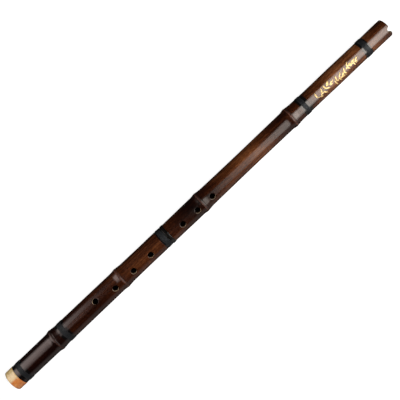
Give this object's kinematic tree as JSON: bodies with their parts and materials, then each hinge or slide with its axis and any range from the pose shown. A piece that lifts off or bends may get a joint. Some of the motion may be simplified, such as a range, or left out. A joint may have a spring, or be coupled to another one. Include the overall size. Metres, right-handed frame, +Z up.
{
  "type": "bamboo flute",
  "caption": "End-blown vertical bamboo flute in two sections on a brass tenon, with a blowing notch, finger holes, black thread bindings and a bone foot ring.",
  "frame": {"origin": "bottom centre of the flute's bounding box: under the middle of its length, on the surface it lies on", "axes": "+X along the bore towards the blowing end, +Z up through the line of finger holes, +Y to the left of someone who looks from the foot towards the blowing end"},
  "size_m": [0.71, 0.0328, 0.0328],
  "materials": {
    "stained_bamboo": "satin",
    "black_thread": "satin",
    "brass": "satin",
    "black_horn": "gloss",
    "bone": "satin",
    "gold_paint": "satin"
  },
  "bodies": {
    "head": {"head_section": "stained_bamboo", "tenon_sleeve": "brass", "binding_mouth": "black_thread", "binding_upper": "black_thread"},
    "collar": {"joint_collar": "black_horn"},
    "foot": {"foot_section": "stained_bamboo", "socket_liner": "brass", "binding_joint": "black_thread", "binding_lower": "black_thread", "binding_foot": "black_thread", "foot_ring": "bone"}
  },
  "joints": [
    {"name": "section_twist", "type": "hinge", "parent": "head", "child": "collar", "pos_m": [-0.05935, 0, 0.01642], "axis": [1, 0, 0], "continuous": true},
    {"name": "section_slide", "type": "slide", "parent": "collar", "child": "foot", "axis": [-1, 0, 0], "range_m": [0, 0.03]}
  ]
}
